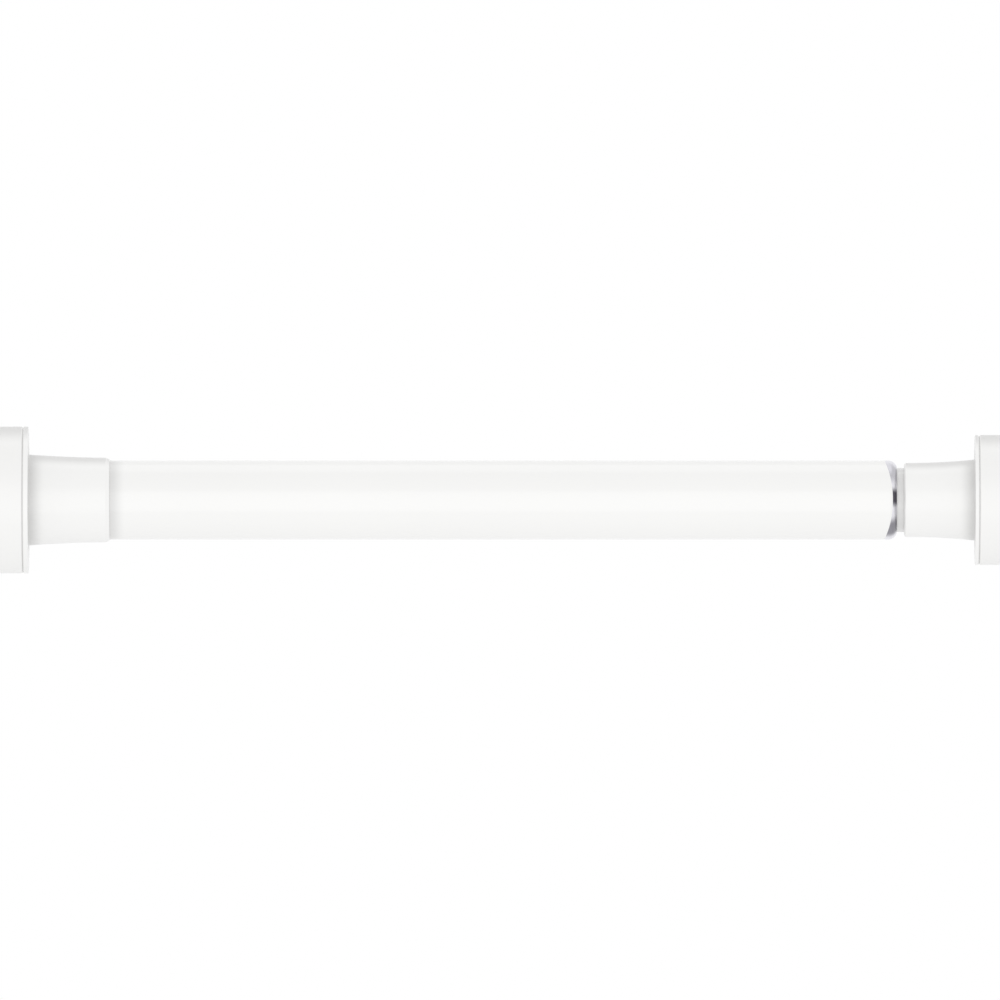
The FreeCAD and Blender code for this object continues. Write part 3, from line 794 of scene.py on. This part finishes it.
class ROD_OT_feet(RodOperator, bpy.types.Operator):
    """Build both moulded sockets and both rubber pads"""

    bl_idname = "tension_rod.feet"
    bl_label = "Feet"

    ENDS = ("left", "right")
    TUBES = ("outer_tube", "inner_tube")

    def execute(self, context):
        plastic = moulded("white_plastic", "plastic", self.finishes)
        rubber = moulded("white_rubber", "rubber", self.finishes)
        corners, seams = self.shade_rings()
        # Painted shade in the collar corners and seams, and on top of the feet.
        for material, rings in ((plastic, corners + seams), (rubber, seams)):
            shade_tops(material, self.finishes)
            shade_corners(material, rings, self.finishes)
        for side in (0, 1):
            self.socket(side, plastic)
            self.pad(side, rubber)
        return {"FINISHED"}

    def collar_bore(self, side):
        """Radius of a collar's bore."""
        return node_reach(self.TUBES[side])[3] + self.sizes.tube_fit

    def shade_rings(self):
        """Rings of painted shade, as (place, radius, reach), at the roots of both collars and at both
        seams.
        """
        sizes, finishes = self.sizes, self.finishes
        corners, seams = [], []
        for side, end in enumerate(self.ENDS):
            start, finish, _, flange = node_reach(f"{end}_pad")
            plate = sizes.plates[side]
            seam, front = (finish, finish + plate) if end == "left" else (start, start - plate)
            root = self.collar_bore(side) + sizes.root_walls[side]
            corners.append((front, root, finishes.corner_shade_reach))
            seams.append((seam, flange - sizes.seam_bevel, finishes.seam_shade_reach))
        return corners, seams

    def places(self, side, kind):
        """First and last place of a foot's node, from that foot's wall face, and its radius."""
        end = self.ENDS[side]
        start, finish, _, radius = node_reach(f"{end}_{kind}")
        if end == "left":
            return start, finish, radius
        rod_end = node_reach("right_pad")[1]
        return rod_end - finish, rod_end - start, radius

    def add_foot_piece(self, side, kind, shells, slot, material):
        """Add a piece of a foot, mirrored to the rod's far end if it is the right foot's."""
        end = self.ENDS[side]
        if end == "right":
            rod_end = node_reach("right_pad")[1]
            shells = [(points * (-1, 1, 1) + (rod_end, 0, 0), faces) for points, faces in shells]
        mark_upward(add_piece(f"{end}_{kind}", shells, material))

    def socket(self, side, material):
        """Flange plate, tapered collar and ribbed core, from the floor's inside to its outside."""
        sizes = self.sizes
        face, mouth, flange = self.places(side, "socket")
        seam = self.places(side, "pad")[1]
        front = seam + sizes.plates[side]
        floor = seam - sizes.socket_floor
        core = flange - sizes.pad_wall - sizes.pad_fit
        hollow = core - sizes.core_wall
        bore = self.collar_bore(side)
        root = (front, bore + sizes.root_walls[side])
        rim = (mouth - sizes.bevels[side], bore + sizes.mouth_walls[side])
        tip = bore + sizes.tip_walls[side]
        small, bevel = sizes.small_edge, sizes.seam_bevel
        corners = [
            (floor, 0, 0),
            (floor, hollow, small),
            (face, hollow, small),
            (face, core, small),
            (seam, core, small),
            (seam, flange - bevel, small),
            (seam + bevel, flange, small),
            (front, flange, sizes.plate_edge),
            (*root, sizes.root_fillet),
            *hollow_side(root, rim, sizes.hollows[side]),
            (*rim, small),
            (mouth, tip, small),
            (mouth, bore, small),
            (seam, bore, small),
            (seam, 0, 0),
        ]
        rib_end, rib_reach = floor + sizes.socket_floor / 2, hollow + sizes.core_wall / 2
        ribs = star_prism(face, rib_end, sizes.rib / 2, rib_reach, sizes.rib_count)
        shells = [turned_solid(rounded(corners)), ribs]
        self.add_foot_piece(side, "socket", shells, "white_plastic", material)

    def pad(self, side, material):
        """A cup with a rounded wall-side edge and ring grooves in its face."""
        sizes = self.sizes
        face, seam, flange = self.places(side, "pad")
        core_face = self.places(side, "socket")[0]
        inside = flange - sizes.pad_wall
        deep, soft = face + sizes.groove_depth, sizes.groove_edge
        small, bevel = sizes.small_edge, sizes.seam_bevel
        corners = [(face, 0, 0)]
        for ring in range(1, sizes.groove_count + 1):
            near = ring * sizes.groove_pitch
            far = near + sizes.groove_width
            corners += [(face, near, soft), (deep, near, soft), (deep, far, soft), (face, far, soft)]
        corners += [
            (face, flange, sizes.pad_edge),
            (seam - bevel, flange, small),
            (seam, flange - bevel, small),
            (seam, inside, small),
            (core_face, inside, small),
            (core_face, 0, 0),
        ]
        self.add_foot_piece(side, "pad", [turned_solid(rounded(corners))], "white_rubber", material)


class ROD_OT_spring(RodOperator, bpy.types.Operator):
    """Build the compression spring as one fixed coil; the real one shortens as the rod is pushed in"""

    bl_idname = "tension_rod.spring"
    bl_label = "Spring"

    def execute(self, context):
        start, end, _, radius = node_reach("spring")
        shell = coil(start, end, radius - self.sizes.spring_wire / 2, self.sizes)
        spring = add_piece("spring", [shell], spring_steel(self.finishes))
        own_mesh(spring)
        return {"FINISHED"}


class ROD_OT_screw(RodOperator, bpy.types.Operator):
    """Build the screw spindle and the nut that runs along it"""

    bl_idname = "tension_rod.screw"
    bl_label = "Screw"

    def execute(self, context):
        self.spindle()
        self.nut()
        return {"FINISHED"}

    def rows(self, start, end):
        """Places of the inner rows of a screw's surface between two ends."""
        steps = round(abs(end - start) / self.sizes.screw_row)
        return np.linspace(start, end, steps + 1)[1:-1]

    def spindle(self):
        """Spigot, head, screw, clip groove and tip, in one outline from end to end along the axis."""
        sizes = self.sizes
        start, end, _, slide = node_reach("spindle")
        clip_start, clip_end, _, _ = node_reach("stop_clip")
        head = start + sizes.spigot
        neck = head + sizes.head
        groove_start, groove_end = clip_start - sizes.clip_play, clip_end + sizes.clip_play
        crest, small, soft = sizes.screw_radius, sizes.small_edge, sizes.soft_edge
        low = crest - sizes.clip_groove
        before = [
            (start, 0, 0),
            (start, sizes.spigot_radius, soft),
            (head, sizes.spigot_radius, small),
            (head, slide, soft),
            (neck, slide, soft),
            (neck, crest, small),
            (groove_start, crest, 0),
        ]
        after = [
            (neck, crest, 0),
            (groove_start, crest, small),
            (groove_start, low, small),
            (groove_end, low, small),
            (groove_end, crest, small),
            (end - sizes.tip_bevel, crest, small),
            (end, crest - sizes.tip_bevel, small),
            (end, 0, 0),
        ]
        plain_before, plain_after = rounded(before)[:-1], rounded(after)[1:]
        along = self.rows(plain_before[-1, 0], plain_after[0, 0])
        screw = np.column_stack([along, np.full(len(along), crest)])
        section = np.concatenate([plain_before, screw, plain_after])
        relief = np.zeros((len(section), SEGMENTS))
        cut = screw_relief(along, sizes, along[0], along[-1])
        relief[len(plain_before) : len(plain_before) + len(along)] = cut
        add_piece("spindle", [turned_solid(section, relief)], nylon(self.finishes))

    def nut(self):
        """Flange, seat of the glide ring, shoulder and grip outside, and the spindle's screw inside."""
        sizes = self.sizes
        start, end, _, flange = node_reach("spindle_nut")
        tube_start, _, tube_bore, tube_radius = node_reach("inner_tube")
        seat = tube_radius - sizes.nut_seat_drop
        grip = tube_bore - sizes.tube_fit
        small, soft = sizes.small_edge, sizes.soft_edge
        bore = sizes.screw_radius + sizes.screw_play
        seat_start, seat_end = start + sizes.nut_flange, tube_start - sizes.nut_shoulder
        corners = [
            (start, bore, 0),
            (start, flange, soft),
            (seat_start, flange, small),
            (seat_start, seat, small),
            (seat_end, seat, small),
            (seat_end, tube_radius, small),
            (tube_start, tube_radius, small),
            (tube_start, grip, small),
            (end, grip, soft),
            (end, bore, 0),
        ]
        outside = rounded(corners)
        along = self.rows(end, start)
        section = np.concatenate([outside, np.column_stack([along, np.full(len(along), bore)])])
        relief = np.zeros((len(section), SEGMENTS))
        relief[len(outside) :] = screw_relief(along, sizes, start, end)
        add_piece("spindle_nut", [turned_ring(section, relief)], nylon(self.finishes))


class ROD_OT_inner_fittings(RodOperator, bpy.types.Operator):
    """Finish the plug, bush, glide ring and stop clip, whose imported forms are right as they are"""

    bl_idname = "tension_rod.inner_fittings"
    bl_label = "Inner Fittings"

    def execute(self, context):
        for name in ("end_plug", "guide_bush", "tail_ring", "stop_clip"):
            material = spring_steel if name == "stop_clip" else nylon
            mesh = frame["nodes"][name].data
            mesh.materials.clear()
            mesh.materials.append(material(self.finishes))
        return {"FINISHED"}


class ROD_OT_stage(RodOperator, bpy.types.Operator):
    """Set up the camera, the soft lamps, the white surroundings and the floor"""

    bl_idname = "tension_rod.stage"
    bl_label = "Stage"

    def execute(self, context):
        stage = context.scene.rod_stage
        context.scene.view_settings.view_transform = "Standard"
        self.camera(context.scene, stage)
        self.surroundings(context.scene, stage)
        self.floor(stage)
        for kind in ("front", "top", "low"):
            self.panel(kind, kind, stage.panel_width, 0.0, stage)
        self.panel("left", "side", stage.side_width, -stage.side_turn, stage)
        self.panel("right", "side", stage.side_width, stage.side_turn, stage)
        return {"FINISHED"}

    def camera(self, scene, stage):
        """A very long lens square to the rod: its width of view is sensor * distance / lens."""
        data = bpy.data.cameras.new("camera")
        data.lens = data.sensor_width * stage.camera_distance / stage.view_width
        camera = bpy.data.objects.new("camera", data)
        camera.location = (stage.view_centre, -stage.camera_distance, 0)
        camera.rotation_euler = (math.pi / 2, 0, 0)
        scene.collection.objects.link(camera)
        scene.camera = camera

    def surroundings(self, scene, stage):
        """White where it is seen or mirrored, and a soft fill elsewhere."""
        world = bpy.data.worlds.new("studio")
        world.use_nodes = True
        scene.world = world
        tree = world.node_tree
        tree.nodes.clear()
        soft, white = (
            add_node(tree, "ShaderNodeBackground", {"Color": WHITE, "Strength": strength}).outputs[0]
            for strength in (stage.sky_fill, 1.0)
        )
        path = tree.nodes.new("ShaderNodeLightPath").outputs
        seen = worked(tree, "MAXIMUM", path["Is Camera Ray"], path["Is Glossy Ray"])
        seen = worked(tree, "MAXIMUM", seen, path["Is Transmission Ray"])
        mix = add_node(tree, "ShaderNodeMixShader", {0: seen, 1: soft, 2: white})
        add_node(tree, "ShaderNodeOutputWorld", {"Surface": mix.outputs[0]})

    def floor(self, stage):
        """A round pale floor well below the rod, lifted to white. It shades nothing."""
        angle = np.linspace(0, TURN, FLOOR_CORNERS, endpoint=False)
        ring = np.stack([np.cos(angle), np.sin(angle), np.zeros_like(angle)], -1) * stage.floor_radius
        ring += (stage.view_centre, 0, -stage.floor_drop)
        mesh = bpy.data.meshes.new("floor")
        mesh.from_pydata(ring.tolist(), [], [list(range(FLOOR_CORNERS))])
        material, tree, shader, _ = new_material("floor")
        looks = {
            "Base Color": (*stage.floor_tint, 1.0),
            "Roughness": stage.floor_roughness,
            "Emission Color": WHITE,
            "Emission Strength": stage.floor_glow,
        }
        fill(tree, shader, looks)
        mesh.materials.append(material)
        floor = bpy.data.objects.new("floor", mesh)
        floor.visible_diffuse = floor.visible_glossy = floor.visible_shadow = False
        bpy.context.scene.collection.objects.link(floor)

    def panel(self, name, kind, width, turn, stage):
        """A soft rectangular lamp of a kind, which faces the rod and isn't seen itself.

        It stands in the camera's direction, turned about the upright axis towards the rod's right end.
        A panel of brightness b and area A has the power pi b A.
        """
        low, high = getattr(stage, f"{kind}_span")
        middle, half = (low + high) / 2, (high - low) / 2
        level, rise = math.cos(middle), math.sin(middle)
        toward = Vector((math.sin(turn) * level, -math.cos(turn) * level, rise))
        data = bpy.data.lights.new(f"{name}_panel", "AREA")
        data.shape = "RECTANGLE"
        data.size, data.size_y = width, 2 * stage.panel_distance * math.tan(half)
        data.energy = math.pi * getattr(stage, f"{kind}_light") * data.size * data.size_y
        lamp = bpy.data.objects.new(data.name, data)
        lamp.location = Vector((stage.view_centre, 0, 0)) + toward * stage.panel_distance
        lamp.rotation_euler = (math.pi / 2 - middle, 0, turn)
        lamp.visible_camera = False
        bpy.context.scene.collection.objects.link(lamp)


OPERATORS = (
    ROD_OT_tubes, ROD_OT_feet, ROD_OT_spring, ROD_OT_screw, ROD_OT_inner_fittings, ROD_OT_stage
)
SETTINGS = {"rod_sizes": RodSizes, "rod_finishes": RodFinishes, "rod_stage": RodStage}


class ROD_PT_panel(bpy.types.Panel):
    """Lists the rod's operators and settings"""

    bl_label = "Spring Tension Rod"
    bl_idname = "ROD_PT_panel"
    bl_space_type = "VIEW_3D"
    bl_region_type = "UI"
    bl_category = "Tension Rod"

    def draw(self, context):
        for operator in OPERATORS:
            self.layout.operator(operator.bl_idname)
        for name, group in SETTINGS.items():
            box = self.layout.box()
            for key in group.__annotations__:
                box.prop(getattr(context.scene, name), key)


CLASSES = (*SETTINGS.values(), *OPERATORS, ROD_PT_panel)


def register():
    for item in CLASSES:
        bpy.utils.register_class(item)
    for name, group in SETTINGS.items():
        setattr(bpy.types.Scene, name, bpy.props.PointerProperty(type=group))


def unregister():
    for name in SETTINGS:
        delattr(bpy.types.Scene, name)
    for item in reversed(CLASSES):
        bpy.utils.unregister_class(item)


def main():
    """Build every piece and the stage."""
    register()
    bpy.ops.tension_rod.tubes()
    bpy.ops.tension_rod.feet()
    bpy.ops.tension_rod.spring()
    bpy.ops.tension_rod.screw()
    bpy.ops.tension_rod.inner_fittings()
    bpy.ops.tension_rod.stage()


if __name__ == "__main__":
    main()
